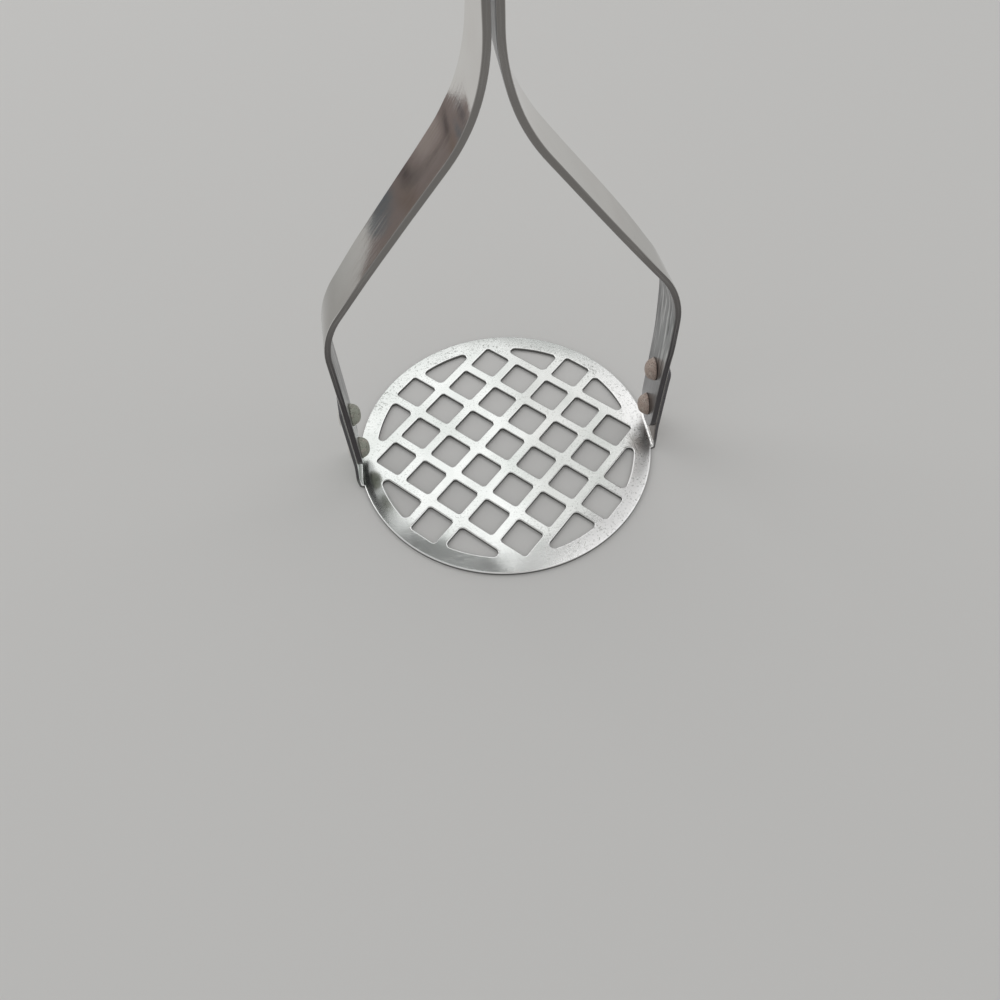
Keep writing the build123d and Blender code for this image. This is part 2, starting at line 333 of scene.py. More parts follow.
def plateLoops():
    p = plate
    pitch = (p["radius"] - p["latticeMargin"] + p["web"] / 2) / (p["rows"] / 2 + 1)
    half = (pitch - p["web"]) / 2
    # right half of the outline: up the tab's near side, over its top, down the far side, then the rim
    flare = arc((straightStart + p["gauge"] + p["rootFlare"], rootHalfWidth), p["rootFlare"], 202, 270, 8)
    shoulderX, shoulderY = straightStart + p["gauge"] - p["shoulder"], rootHalfWidth - p["shoulder"]
    shoulder = arc((shoulderX, shoulderY), p["shoulder"], 0, 90, 7)
    cornerX = straightStart + p["tabTop"] - p["tabCornerRadius"]
    corner = arc((cornerX, p["tabHalfWidth"] - p["tabCornerRadius"]), p["tabCornerRadius"], 0, 90, 7)
    rootX = np.linspace(foldStart, shoulderX, 6)[:-1]
    sideX = np.linspace(flare[-1, 0], cornerX, 14)[1:-1]
    upper = np.concatenate([
        corner,
        np.stack([sideX[::-1], np.full(12, p["tabHalfWidth"])], 1),
        flare[::-1],
        shoulder,
        np.stack([rootX[::-1], np.full(5, rootHalfWidth)], 1),
    ])
    lower = upper[::-1] * [1, -1]
    rimAngle = math.degrees(math.asin(rootHalfWidth / p["radius"]))
    rim = arc((0, 0), p["radius"], rimAngle, 180 - rimAngle, 161)[1:-1]
    rightHalf = np.concatenate([lower, upper, rim])
    outline = np.concatenate([rightHalf, -rightHalf])

    # holes in the lattice's own directions, then turned, clockwise
    square = np.concatenate([
        arc((sx * (half - p["cornerRadius"]), sy * (half - p["cornerRadius"])), p["cornerRadius"], a, a - 90, 6)
        for sx, sy, a in ((1, 1, 90), (1, -1, 0), (-1, -1, -90), (-1, 1, -180))])
    steps = np.arange(p["rows"]) - (p["rows"] - 1) / 2
    centres = [(i * pitch, j * pitch) for i in steps for j in steps]
    reach = (p["rows"] + 1) / 2 * pitch
    centres += [(reach, 0), (-reach, 0), (0, reach), (0, -reach)]
    holes = [square + c for c in centres]

    # rim hole: two cells run together, closed by an arc; each corner is an arc inside its two edges
    x0, y0 = pitch - half, reach - half
    q, r = p["rimCornerRadius"], p["radius"] - p["rimBand"]
    a = (x0 + q, y0 + q)
    b = (math.sqrt((r - q) ** 2 - (y0 + q) ** 2), y0 + q)
    c = (x0 + q, math.sqrt((r - q) ** 2 - (x0 + q) ** 2))
    angleB, angleC = (math.degrees(math.atan2(v[1], v[0])) for v in (b, c))
    cell = np.concatenate([
        arc(a, q, 180, 270, 7), arc(b, q, -90, angleB, 9),
        arc((0, 0), r, angleB, angleC, 16)[1:-1], arc(c, q, angleC, 180, 9)])
    for quarter in range(4):
        t = math.radians(90 * quarter)
        spin = np.array([[math.cos(t), math.sin(t)], [-math.sin(t), math.cos(t)]])
        holes.append((cell @ spin)[::-1])
        holes.append((cell * [-1, 1]) @ spin)
    t = math.radians(p["latticeTurn"])
    spin = np.array([[math.cos(t), math.sin(t)], [-math.sin(t), math.cos(t)]])
    holes = [hole @ spin for hole in holes]
    for height in arm["rivetHeights"]:
        for side in (-1, 1):
            up, across = arm["rivetShift"][side]
            centre = (side * (straightStart + height + up), across)
            holes.append(arc(centre, arm["rivetHoleRadius"], 360, 0, 25)[:-1])
    return [outline] + holes


def foldRows():
    bend = np.concatenate([np.linspace(foldStart, foldStart + bendLength, 9),
                           foldStart + bendLength + np.array(plate["rowsPastFold"])])
    reach = np.linspace(-0.86, 0.86, 13) * plate["tabHalfWidth"]
    return [np.stack([np.full(13, side * x), reach], 1) for side in (-1, 1) for x in bend]


points, normals, faces, marks = cutSheet(
    plateLoops(), plate["gauge"], plate["punchRoll"], plate["burr"], foldRows())
points, normals = foldTabs(points, normals)
points, normals = bowPlate(points, normals)
platePiece = addPiece("piercedPlate", points, faces, normals)
keepMarks(platePiece, marks)
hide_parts("mashing_plate")
print("plate made,", len(faces), "faces")


# Arms

# The right arm's middle line in the XZ plane: straight runs joined by arcs that touch both of them.
# Returns how far along each point is, the points and the directions.
def armMiddleLine():
    a = arm
    corners = np.array([(a["innerX"], a["foot"]), (a["innerX"], a["elbow"]),
                        (a["gap"] / 2, a["neck"]), (a["gap"] / 2, a["top"])])
    runs = np.diff(corners, axis=0)
    runs /= np.linalg.norm(runs, axis=1)[:, None]
    inner, directions = [corners[:1]], [runs[:1]]
    for k, radius in ((1, a["elbowRadius"]), (2, a["neckRadius"])):
        before, after = runs[k - 1], runs[k]
        turn = math.acos(before @ after)
        bendsLeft = math.copysign(1, before[0] * after[1] - before[1] * after[0])
        start = corners[k] - before * radius * math.tan(turn / 2)
        centre = start + bendsLeft * radius * np.array([-before[1], before[0]])
        angle = bendsLeft * np.linspace(0, turn, 60)[:, None]
        heading = np.concatenate([before[0] * np.cos(angle) - before[1] * np.sin(angle),
                                  before[0] * np.sin(angle) + before[1] * np.cos(angle)], 1)
        inner.append(centre - bendsLeft * radius * np.stack([-heading[:, 1], heading[:, 0]], 1))
        directions.append(heading)
    inner, directions = np.concatenate(inner + [corners[3:]]), np.concatenate(directions + [runs[2:]])
    outward = np.stack([directions[:, 1], -directions[:, 0]], 1)
    middle = inner + outward * a["gauge"] / 2
    along = np.concatenate([[0], np.cumsum(np.linalg.norm(np.diff(middle, axis=0), axis=1))])
    return along, middle, directions


armAlong, armMiddle, armHeading = armMiddleLine()


# Puts flat points (along, sideways, lift) on an arm: middle line at that length, plus the turned
# cross and outward directions; the left arm is the mirror image before its own stance
def layOnArm(side, points, normals):
    s = points[:, 0]
    spot = np.stack([np.interp(s, armAlong, armMiddle[:, k]) for k in (0, 1)], 1)
    spot[:, 1] += np.minimum(s, 0)
    heading = np.stack([np.interp(s, armAlong, armHeading[:, k]) for k in (0, 1)], 1)
    heading /= np.linalg.norm(heading, axis=1)[:, None]
    zero = np.zeros(len(s))
    base = np.stack([side * spot[:, 0], zero, spot[:, 1]], 1)
    along = np.stack([side * heading[:, 0], zero, heading[:, 1]], 1)
    outward = np.stack([side * heading[:, 1], zero, -heading[:, 0]], 1)
    where, cross, out = takeStance(side, base, outward, points[:, 1], points[:, 2] - arm["gauge"] / 2)
    turned = along * normals[:, 0:1] + cross * normals[:, 1:2] + out * normals[:, 2:3]
    return where, turned


def alongOf(height):
    return np.interp(height, armMiddle[:, 1], armAlong)


def armLoops(side):
    half, total = arm["width"] / 2, armAlong[-1]
    (lowEnd, fineStart), (fineEnd, highStart) = (alongOf(heights) for heights in arm["finePart"])
    sideX = np.concatenate([np.linspace(half, lowEnd, 12), np.linspace(fineStart, fineEnd, 60),
                            np.linspace(highStart, total - half, 16)])[1:-1]
    near = np.stack([sideX, np.full(len(sideX), -half)], 1)
    outline = np.concatenate([near, arc((total - half, 0), half, -90, 90, 31),
                              near[::-1] * [1, -1], arc((half, 0), half, 90, 270, 31)])
    up, across = arm["rivetShift"][side]
    holes = [arc((alongOf(h + up), across), arm["rivetHoleRadius"], 360, 0, 25)[:-1] for h in arm["rivetHeights"]]
    holes += [arc((alongOf(h), 0), arm["pinHoleRadius"], 360, 0, 25)[:-1] for h in arm["pinHeights"]]
    reach = np.linspace(-0.9, 0.9, 9) * half
    firstRow, lastRow = alongOf(arm["crossRowsBetween"])
    rows = [np.stack([np.full(9, s), reach], 1) for s in sideX if firstRow < s < lastRow]
    return [outline] + holes, rows


armPieces = {}
for side, name, node in ((-1, "leftArmStrip", "left_arm"), (1, "rightArmStrip", "right_arm")):
    loops, rows = armLoops(side)
    flat, flatNormals, faces, marks = cutSheet(loops, arm["gauge"], arm["edgeRoll"], arm["burr"], rows)
    points, normals = layOnArm(side, flat, flatNormals)
    # the flat sheet's far side is -y, so the right arm's faces turn over when it is stood up
    turnedFaces = [f[::-1] for f in faces] if side > 0 else faces
    piece = addPiece(name, points, turnedFaces, normals)
    keepMarks(piece, marks)
    place = piece.data.attributes.new("stripPlace", "FLOAT_VECTOR", "POINT")
    place.data.foreach_set("vector", flat.astype(np.float32).ravel())
    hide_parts(node)
    armPieces[side] = piece
print("arms made,", len(faces), "faces each")


# Rivets

rivet = {
    "shankRadius": 0.0016,
    "headRadius": 0.0031,
    "headHeight": 0.0026,
    "headRim": 0.0004,
    "headCrown": 0.00288,         # the crown rises inside a thin flange
    "formedRadius": 0.0025,
    "formedHeight": 0.0009,
    "formedRim": 0.0003,
    "crownFlat": 0.97,            # how far each crown falls at its rim, and the curve's two powers
    "crownPowers": (2.6, 0.6),
    "edgeRound": 0.0001,
    "outOfRound": (0.012, 0.008),
    "tiltLimit": 0.035,
    "grip": 0.0026,
    "around": 48,
}


# Profile from the inner head's crown to the formed head's crown, as (lift from the arm's inner face,
# radius): each crown is an arc through its rim, flattened a little at the middle by the hammer
def rivetProfile():
    v = rivet
    t = np.linspace(0, 1, 15)[1:]
    inner, outer = v["crownPowers"]
    edge, top = v["edgeRound"], v["grip"]
    crown = np.stack([-v["headRim"] - (v["headHeight"] - v["headRim"]) * (1 - v["crownFlat"] * t ** inner) ** outer,
                      v["headCrown"] * t], 1)
    rim = np.array([(-v["headRim"] * 0.8, v["headRadius"]), (-edge, v["headRadius"]),
                    (0.0, v["headRadius"] - edge), (0.0, v["shankRadius"])])
    formed = np.stack([top + v["formedRim"] + (v["formedHeight"] - v["formedRim"]) * np.sqrt(1 - 0.9 * t ** 2),
                       v["formedRadius"] * t * 0.98], 1)[::-1]
    lowRim = np.array([(top, v["shankRadius"]), (top, v["formedRadius"] - edge), (top + edge, v["formedRadius"])])
    return np.concatenate([crown, rim, lowRim, formed])


# Revolves the profile: radius times cosine and sine round the rivet, with a slight out of round that
# differs from rivet to rivet, and closes both crowns with a fan
def rivetMesh(seed):
    random = np.random.default_rng(seed)
    profile, n = rivetProfile(), rivet["around"]
    angle = np.linspace(0, 2 * np.pi, n, endpoint=False)
    two, three = rivet["outOfRound"]
    wobble = 1 + two * np.cos(2 * angle + random.uniform(0, 6)) + three * np.cos(3 * angle + random.uniform(0, 6))
    tilt = random.uniform(-rivet["tiltLimit"], rivet["tiltLimit"], 2)
    radius = profile[:, 1:2] * wobble[None]
    x, y = radius * np.cos(angle), radius * np.sin(angle)
    lift = profile[:, 0:1] + np.zeros((1, n))
    free = np.where((profile[:, 0:1] < -0.0002) | (profile[:, 0:1] > rivet["grip"] + 0.0002), 1.0, 0.0)
    lift = lift + free * (tilt[0] * x + tilt[1] * y)
    points = np.stack([x, y, lift], 2).reshape(-1, 3)
    crowns = np.array([(0, 0, -rivet["headHeight"] + 0.00001), (0, 0, rivet["grip"] + rivet["formedHeight"])])
    rows = len(profile)
    faces = list(gridFaces(rows, n))
    c = np.arange(n)
    faces += list(np.stack([(c + 1) % n, c, np.full(n, rows * n)], 1))
    last = (rows - 1) * n
    faces += list(np.stack([last + c, last + (c + 1) % n, np.full(n, rows * n + 1)], 1))
    return np.concatenate([points, crowns]), faces


rivetPieces = []
seed = 11
for side, sideName in ((-1, "left"), (1, "right")):
    for height, level in zip(arm["rivetHeights"], ("lower", "upper")):
        points, faces = rivetMesh(seed)
        up, across = arm["rivetShift"][side]
        points[:, :2] += (alongOf(height + up), across)
        points = layOnArm(side, points, np.tile([0, 0, 1.0], (len(points), 1)))[0]
        turnedFaces = [f[::-1] for f in faces] if side > 0 else faces
        piece = addPiece(f"{sideName}{level.capitalize()}Rivet", points, turnedFaces)
        piece.data.set_sharp_from_angle(angle=math.radians(50))
        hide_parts(f"{sideName}_{level}_rivet")
        rivetPieces.append(piece)
        seed += 1
print("rivets made")


# Materials


# Adds a node; an input given as a socket is linked and anything else is set as its value
def put(tree, kind, inputs=None, **settings):
    node = tree.nodes.new(kind)
    for key, value in settings.items():
        setattr(node, key, value)
    for key, value in (inputs or {}).items():
        if isinstance(value, bpy.types.NodeSocket):
            tree.links.new(value, node.inputs[key])
        else:
            node.inputs[key].default_value = value
    return node


def newMaterial(name):
    material = bpy.data.materials.new(name)
    material.use_nodes = True
    tree = material.node_tree
    return material, tree, tree.nodes["Principled BSDF"]


def ramp(tree, factor, stops):
    node = put(tree, "ShaderNodeValToRGB", {"Fac": factor})
    elements = node.color_ramp.elements
    while len(elements) < len(stops):
        elements.new(0.5)
    for element, (place, value) in zip(elements, stops):
        element.position = place
        element.color = value if isinstance(value, tuple) else (value, value, value, 1)
    return node.outputs["Color"]


def mixColour(tree, factor, a, b, blend="MIX"):
    return put(tree, "ShaderNodeMix", {0: factor, 6: a, 7: b}, data_type="RGBA", blend_type=blend).outputs[2]


def calc(tree, operation, a, b=0.0):
    return put(tree, "ShaderNodeMath", {0: a, 1: b}, operation=operation).outputs[0]


# A value that goes evenly from 0 to 1 as a coordinate goes from low to high
def rise(tree, value, low, high):
    return put(tree, "ShaderNodeMapRange", {0: value, 1: low, 2: high, 3: 0.0, 4: 1.0}).outputs[0]


def mapped(tree, coordinates, **settings):
    inputs = {"Vector": coordinates, **{key.capitalize(): value for key, value in settings.items()}}
    return put(tree, "ShaderNodeMapping", inputs).outputs[0]


def noise(tree, coordinates, scale, detail=3.0, roughness=0.55):
    return put(tree, "ShaderNodeTexNoise", {"Vector": coordinates, "Scale": scale, "Detail": detail,
                                            "Roughness": roughness}).outputs["Fac"]


# Long thin streaks: noise on coordinates squeezed along one direction, kept where it peaks
def streaks(tree, coordinates, rotation, squeeze, scale, low, high):
    return ramp(tree, noise(tree, mapped(tree, coordinates, rotation=rotation, scale=squeeze), scale),
                ((low, 0.0), (high, 1.0)))


# How much a mark on the sheet counts at each point
def markOf(tree, name):
    return put(tree, "ShaderNodeAttribute", attribute_name=name).outputs["Fac"]


def placeOf(tree, kind="Object"):
    return put(tree, "ShaderNodeTexCoord").outputs[kind]


def split(tree, vector):
    return tuple(put(tree, "ShaderNodeSeparateXYZ", {"Vector": vector}).outputs)


def bumped(tree, height, strength, distance, over=None):
    inputs = {"Strength": strength, "Distance": distance, "Height": height}
    return put(tree, "ShaderNodeBump", {**inputs, "Normal": over} if over else inputs).outputs[0]


plateFinish = {
    "tone": (0.80, 0.82, 0.80, 1),
    "dull": (0.66, 0.69, 0.665, 1),
    # real specks, and the painted shade fanning out beside the right tab
    "stainAndShade": (0.30, 0.31, 0.29, 1),
    # real bright scratches, and the painted highlight on the rolled edges and the worn rim
    "brightScratchAndHighlight": (0.97, 0.97, 0.96, 1),
    # painted shade for the cut sides, darker on the tabs
    "cut": (0.13, 0.13, 0.125, 1),
    "tabCutShade": (0.085, 0.08, 0.09, 1),
    # painted shade on the right tab's faces
    "root": (0.26, 0.235, 0.22, 1),
    "roughness": (0.09, 0.20),
    "wornRoughness": 0.14,        # added towards the right and the near side
    "scales": {"cloud": 55.0, "speck": 1500.0, "grain": 3600.0, "patch": 75.0, "dish": 70.0},
    "rimFrom": (0.031, 0.038),    # the masks below go from nothing to full between two places, in metres
    "wornAndSheenFrom": (0.010, 0.034),
    "polishedFrom": (-0.020, -0.040),
    "tabFrom": (0.0016, 0.0034),
    "rightTabShadeFrom": (0.0010, 0.0024),
    "fanRoot": (0.0372, -0.0052),
    "fanReach": (0.0056, 0.0008),
}


def plateSteel():
    material, tree, shader = newMaterial("plateSteel")
    f, scales = plateFinish, plateFinish["scales"]
    spot = placeOf(tree)
    x, y, z = split(tree, spot)
    radius = calc(tree, "SQRT", calc(tree, "ADD", calc(tree, "MULTIPLY", x, x), calc(tree, "MULTIPLY", y, y)))
    rim = rise(tree, radius, *f["rimFrom"])
    # the right side and the near right rim are worn dull and specked, and the worn rim is painted a brighter sheen;
    # the near left keeps its polish
    wornAndSheen = rise(tree, calc(tree, "SUBTRACT", x, calc(tree, "MULTIPLY", y, 0.45)), *f["wornAndSheenFrom"])
    wornAndSheen = calc(tree, "MULTIPLY", wornAndSheen, calc(tree, "ADD", calc(tree, "MULTIPLY", rim, 0.5), 0.5))
    polished = calc(tree, "MULTIPLY", rise(tree, calc(tree, "ADD", x, y), *f["polishedFrom"]), rim)
    tab = rise(tree, z, *f["tabFrom"])
    rightTabShade = calc(tree, "MULTIPLY", rise(tree, z, *f["rightTabShadeFrom"]), rise(tree, x, 0.0, 0.01))
    cloud = noise(tree, spot, scales["cloud"], 4.0)
    speck = noise(tree, spot, scales["speck"], 3.0, 0.75)
    grain = noise(tree, spot, scales["grain"], 2.0, 0.6)
    patch = ramp(tree, noise(tree, spot, scales["patch"], 2.0), ((0.36, 0.0), (0.60, 1.0)))
    one = streaks(tree, spot, (0, 0, 0.5), (0.05, 1, 1), 2400.0, 0.58, 0.76)
    two = streaks(tree, spot, (0, 0, 1.75), (0.05, 1, 1), 2100.0, 0.60, 0.78)
    three = streaks(tree, spot, (0, 0, 2.6), (0.08, 1, 1), 1700.0, 0.62, 0.80)
    scratches = calc(tree, "ADD", calc(tree, "ADD", one, two), three)
    colour = mixColour(tree, ramp(tree, cloud, ((0.38, 0.0), (0.66, 1.0))), f["tone"], f["dull"])
    # painted sheen: the worn right rim's colour is raised towards bright
    colour = mixColour(tree, calc(tree, "MULTIPLY", wornAndSheen, rim), colour, f["brightScratchAndHighlight"])
    often = calc(tree, "ADD", calc(tree, "MULTIPLY", patch, 0.55), calc(tree, "MULTIPLY", rim, 0.45))
    specks = calc(tree, "MULTIPLY", ramp(tree, speck, ((0.54, 0.0), (0.66, 1.0))), often)
    specks = calc(tree, "MULTIPLY", specks, calc(tree, "SUBTRACT", 1.0, calc(tree, "MULTIPLY", polished, 0.8)))
    colour = mixColour(tree, calc(tree, "MULTIPLY", specks, 0.8), colour, f["stainAndShade"])
    colour = mixColour(tree, calc(tree, "MULTIPLY", scratches, 0.18), colour, f["brightScratchAndHighlight"])
    # painted shade: dark streaks fan out beside the right tab's root, where the sheet is bent
    fanSpot = mapped(tree, spot, location=(-f["fanRoot"][0], -f["fanRoot"][1], 0))
    fanWay = put(tree, "ShaderNodeTexGradient", {"Vector": fanSpot}, gradient_type="RADIAL").outputs["Fac"]
    fanReach = put(tree, "ShaderNodeVectorMath", {0: fanSpot}, operation="LENGTH").outputs["Value"]
    fanPlace = put(tree, "ShaderNodeCombineXYZ", {"X": calc(tree, "MULTIPLY", fanWay, 46.0),
                                                  "Y": calc(tree, "MULTIPLY", fanReach, 260.0)}).outputs[0]
    fanShade = ramp(tree, noise(tree, fanPlace, 1.0, 3.0, 0.6), ((0.44, 0.0), (0.60, 1.0)))
    fanShade = calc(tree, "MULTIPLY", fanShade, rise(tree, fanReach, *f["fanReach"]))
    colour = mixColour(tree, calc(tree, "MULTIPLY", fanShade, 0.85), colour, f["stainAndShade"])
    # painted highlight: the flat sheet's rolled edges are painted bright
    flatRollHighlight = calc(tree, "MULTIPLY", markOf(tree, "rolledEdge"), calc(tree, "SUBTRACT", 1.0, tab))
    colour = mixColour(tree, flatRollHighlight, colour, f["brightScratchAndHighlight"])
    # painted shade: the cut sides are painted dark, darker still on the tabs
    cut = mixColour(tree, tab, f["cut"], f["tabCutShade"])
    colour = mixColour(tree, calc(tree, "MULTIPLY", markOf(tree, "cutSide"), 0.9), colour, cut)
    # painted shade: the right tab's faces, not its cut sides, are painted dark brown
    onFace = calc(tree, "SUBTRACT", 1.0, markOf(tree, "cutSide"))
    colour = mixColour(tree, calc(tree, "MULTIPLY", rightTabShade, onFace), colour, f["root"])
    tree.links.new(colour, shader.inputs["Base Color"])
    shader.inputs["Metallic"].default_value = 1.0
    low, high = f["roughness"]
    rough = calc(tree, "ADD", calc(tree, "MULTIPLY", cloud, high - low), low)
    rough = calc(tree, "ADD", rough, calc(tree, "MULTIPLY", wornAndSheen, f["wornRoughness"]))
    rough = calc(tree, "ADD", rough, calc(tree, "MULTIPLY", specks, 0.25))
    rough = calc(tree, "ADD", rough, calc(tree, "MULTIPLY", markOf(tree, "cutSide"), 0.15))
    rough = calc(tree, "ADD", rough, calc(tree, "MULTIPLY", tab, 0.20))
    tree.links.new(rough, shader.inputs["Roughness"])
    relief = calc(tree, "SUBTRACT", calc(tree, "MULTIPLY", grain, 0.45), calc(tree, "MULTIPLY", scratches, 0.30))
    relief = calc(tree, "SUBTRACT", relief, calc(tree, "MULTIPLY", specks, 0.6))
    fine = bumped(tree, relief, 0.30, 0.00003)
    dished = bumped(tree, noise(tree, spot, scales["dish"], 1.0), 0.22, 0.0004, fine)
    tree.links.new(dished, shader.inputs["Normal"])
    return material


armFinish = {
    "tone": (0.86, 0.85, 0.83, 1),
    "warm": (0.76, 0.725, 0.70, 1),
    # painted shade for the lower arm
    "lowerShade": (0.56, 0.56, 0.55, 1),     # multiplies the tone at the elbow
    # real bright scratches, and the painted highlight on the rolled edges low on the arm
    "brightScratchAndHighlight": (0.93, 0.93, 0.92, 1),
    # painted shade for the cut sides, darkest low on the arm
    "cut": (0.085, 0.08, 0.085, 1),      # low on the arm
    "cutShadeHigh": (0.275, 0.265, 0.255, 1),
    "cutStreak": (0.40, 0.39, 0.38, 1),
    # painted shade for the inner faces
    "inner": (0.26, 0.26, 0.265, 1),
    "innerStreak": (0.60, 0.60, 0.60, 1),
    "innerDark": (0.11, 0.11, 0.11, 1),
    # painted shade low on the right arm's inner face
    "foot": (0.12, 0.115, 0.12, 1),
    "roughness": 0.03,
    "lowerShadeFrom": ((0.110, 0.092), (0.084, 0.064)),     # between which heights it sets in, in two steps
    "lowerShadeShares": (0.35, 0.65),
    "cutShadeFrom": (0.040, 0.075),
    "rollShadeFrom": (0.066, 0.076),
    "footShadeFrom": (0.036, 0.024),
}


# Reads the strip's own flat coordinates, so its streaks follow it round the bends
def armSteel():
    material, tree, shader = newMaterial("armSteel")
    f = armFinish
    spot = placeOf(tree)
    strip = put(tree, "ShaderNodeAttribute", attribute_name="stripPlace").outputs["Vector"]
    cloud = noise(tree, spot, 45.0, 4.0, 0.6)
    grain = noise(tree, spot, 3200.0, 3.0, 0.6)
    lengthwise = streaks(tree, strip, (0, 0, 0.06), (0.035, 1, 1), 1900.0, 0.52, 0.74)
    slanted = streaks(tree, strip, (0, 0, 0.45), (0.07, 1, 1), 850.0, 0.48, 0.64)
    slantedDark = streaks(tree, strip, (0, 0, 0.60), (0.08, 1, 1), 600.0, 0.54, 0.66)
    crossing = streaks(tree, strip, (0, 0, 1.25), (0.05, 1, 1), 1600.0, 0.60, 0.82)
    scratches = calc(tree, "ADD", lengthwise, crossing)
    colour = mixColour(tree, ramp(tree, cloud, ((0.40, 0.0), (0.72, 0.8))), f["tone"], f["warm"])
    colour = mixColour(tree, calc(tree, "MULTIPLY", scratches, 0.18), colour, f["brightScratchAndHighlight"])
    x, _, z = split(tree, spot)
    # painted shade: the tone darkens below the neck in two steps, fully by the elbow, and stays dark below
    lowerShadeShare = calc(tree, "ADD", *(calc(tree, "MULTIPLY", rise(tree, z, *heights), share)
                                  for heights, share in zip(f["lowerShadeFrom"], f["lowerShadeShares"])))
    colour = mixColour(tree, lowerShadeShare, colour, f["lowerShade"], "MULTIPLY")
    # painted shade: the inner face is painted much darker than the outer, with light and dark slanted streaks
    inner = mixColour(tree, slanted, f["inner"], f["innerStreak"])
    inner = mixColour(tree, slantedDark, inner, f["innerDark"])
    # painted shade: darker still near the right arm's foot
    rightFootShade = calc(tree, "MULTIPLY", rise(tree, z, *f["footShadeFrom"]), rise(tree, x, 0.0, 0.01))
    inner = mixColour(tree, calc(tree, "MULTIPLY", rightFootShade, 0.9), inner, f["foot"])
    colour = mixColour(tree, markOf(tree, "underside"), colour, inner)
    # painted shade: the cut sides are painted dark, darkest low on the arm, with lighter streaks along them
    cut = mixColour(tree, rise(tree, z, *f["cutShadeFrom"]), f["cut"], f["cutShadeHigh"])
    cut = mixColour(tree, calc(tree, "MULTIPLY", lengthwise, 0.5), cut, f["cutStreak"])
    colour = mixColour(tree, markOf(tree, "cutSide"), colour, cut)
    # painted highlight on the rolled edges low on the arm, turning to painted shade higher up
    roll = mixColour(tree, rise(tree, z, *f["rollShadeFrom"]), f["brightScratchAndHighlight"], f["cutShadeHigh"])
    colour = mixColour(tree, calc(tree, "MULTIPLY", markOf(tree, "rolledEdge"), 0.7), colour, roll)
    tree.links.new(colour, shader.inputs["Base Color"])
    shader.inputs["Metallic"].default_value = 1.0
    rough = calc(tree, "ADD", calc(tree, "MULTIPLY", cloud, 0.05), f["roughness"])
    rough = calc(tree, "ADD", rough, calc(tree, "MULTIPLY", scratches, 0.06))
    rough = calc(tree, "ADD", rough, calc(tree, "MULTIPLY", markOf(tree, "underside"), 0.24))
    rough = calc(tree, "ADD", rough, calc(tree, "MULTIPLY", markOf(tree, "cutSide"), 0.18))
    tree.links.new(rough, shader.inputs["Roughness"])
    relief = calc(tree, "SUBTRACT", calc(tree, "MULTIPLY", grain, 0.4), calc(tree, "MULTIPLY", scratches, 0.4))
    fine = bumped(tree, relief, 0.22, 0.00003)
    dented = bumped(tree, noise(tree, spot, 90.0, 1.0), 0.2, 0.0003, fine)
    tree.links.new(dented, shader.inputs["Normal"])
    return material


rivetFinish = {
    "brown": (0.50, 0.40, 0.345, 1),
    "olive": (0.43, 0.45, 0.38, 1),
    "pale": (0.66, 0.60, 0.54, 1),
    "struck": (0.86, 0.84, 0.81, 1),
    "pit": (0.11, 0.085, 0.07, 1),
    "roughness": 0.55,
    "struckFrom": (0.0434, 0.0439),      # distance from the middle plane, in metres
}


# Struck, pitted and specked; the right pair is coloured brown and the left pair olive
def rivetSteel():
    material, tree, shader = newMaterial("rivetSteel")
    f = rivetFinish
    spot = placeOf(tree)
    x = split(tree, spot)[0]
    cloud = noise(tree, spot, 700.0, 4.0)
    pitted = noise(tree, spot, 3000.0, 3.0, 0.7)
    tone = mixColour(tree, rise(tree, x, -0.01, 0.01), f["olive"], f["brown"])
    colour = mixColour(tree, ramp(tree, cloud, ((0.50, 0.0), (0.72, 0.7))), tone, f["pale"])
    pits = ramp(tree, pitted, ((0.53, 0.0), (0.64, 1.0)))
    colour = mixColour(tree, calc(tree, "MULTIPLY", pits, 0.75), colour, f["pit"])
    # the formed heads outside were hammered bright
    struck = rise(tree, calc(tree, "ABSOLUTE", x), *f["struckFrom"])
    colour = mixColour(tree, struck, colour, f["struck"])
    tree.links.new(colour, shader.inputs["Base Color"])
    tree.links.new(calc(tree, "ADD", calc(tree, "MULTIPLY", struck, 0.5), 0.35), shader.inputs["Metallic"])
    tree.links.new(calc(tree, "ADD", calc(tree, "MULTIPLY", cloud, 0.2), f["roughness"] - 0.1),
                   shader.inputs["Roughness"])
    relief = calc(tree, "SUBTRACT", cloud, pits)
    tree.links.new(bumped(tree, relief, 0.5, 0.00006), shader.inputs["Normal"])
    return material


gripFinish = {
    "early": (0.56, 0.34, 0.17, 1),
    "late": (0.36, 0.19, 0.085, 1),
    "fleck": (0.20, 0.10, 0.045, 1),
}


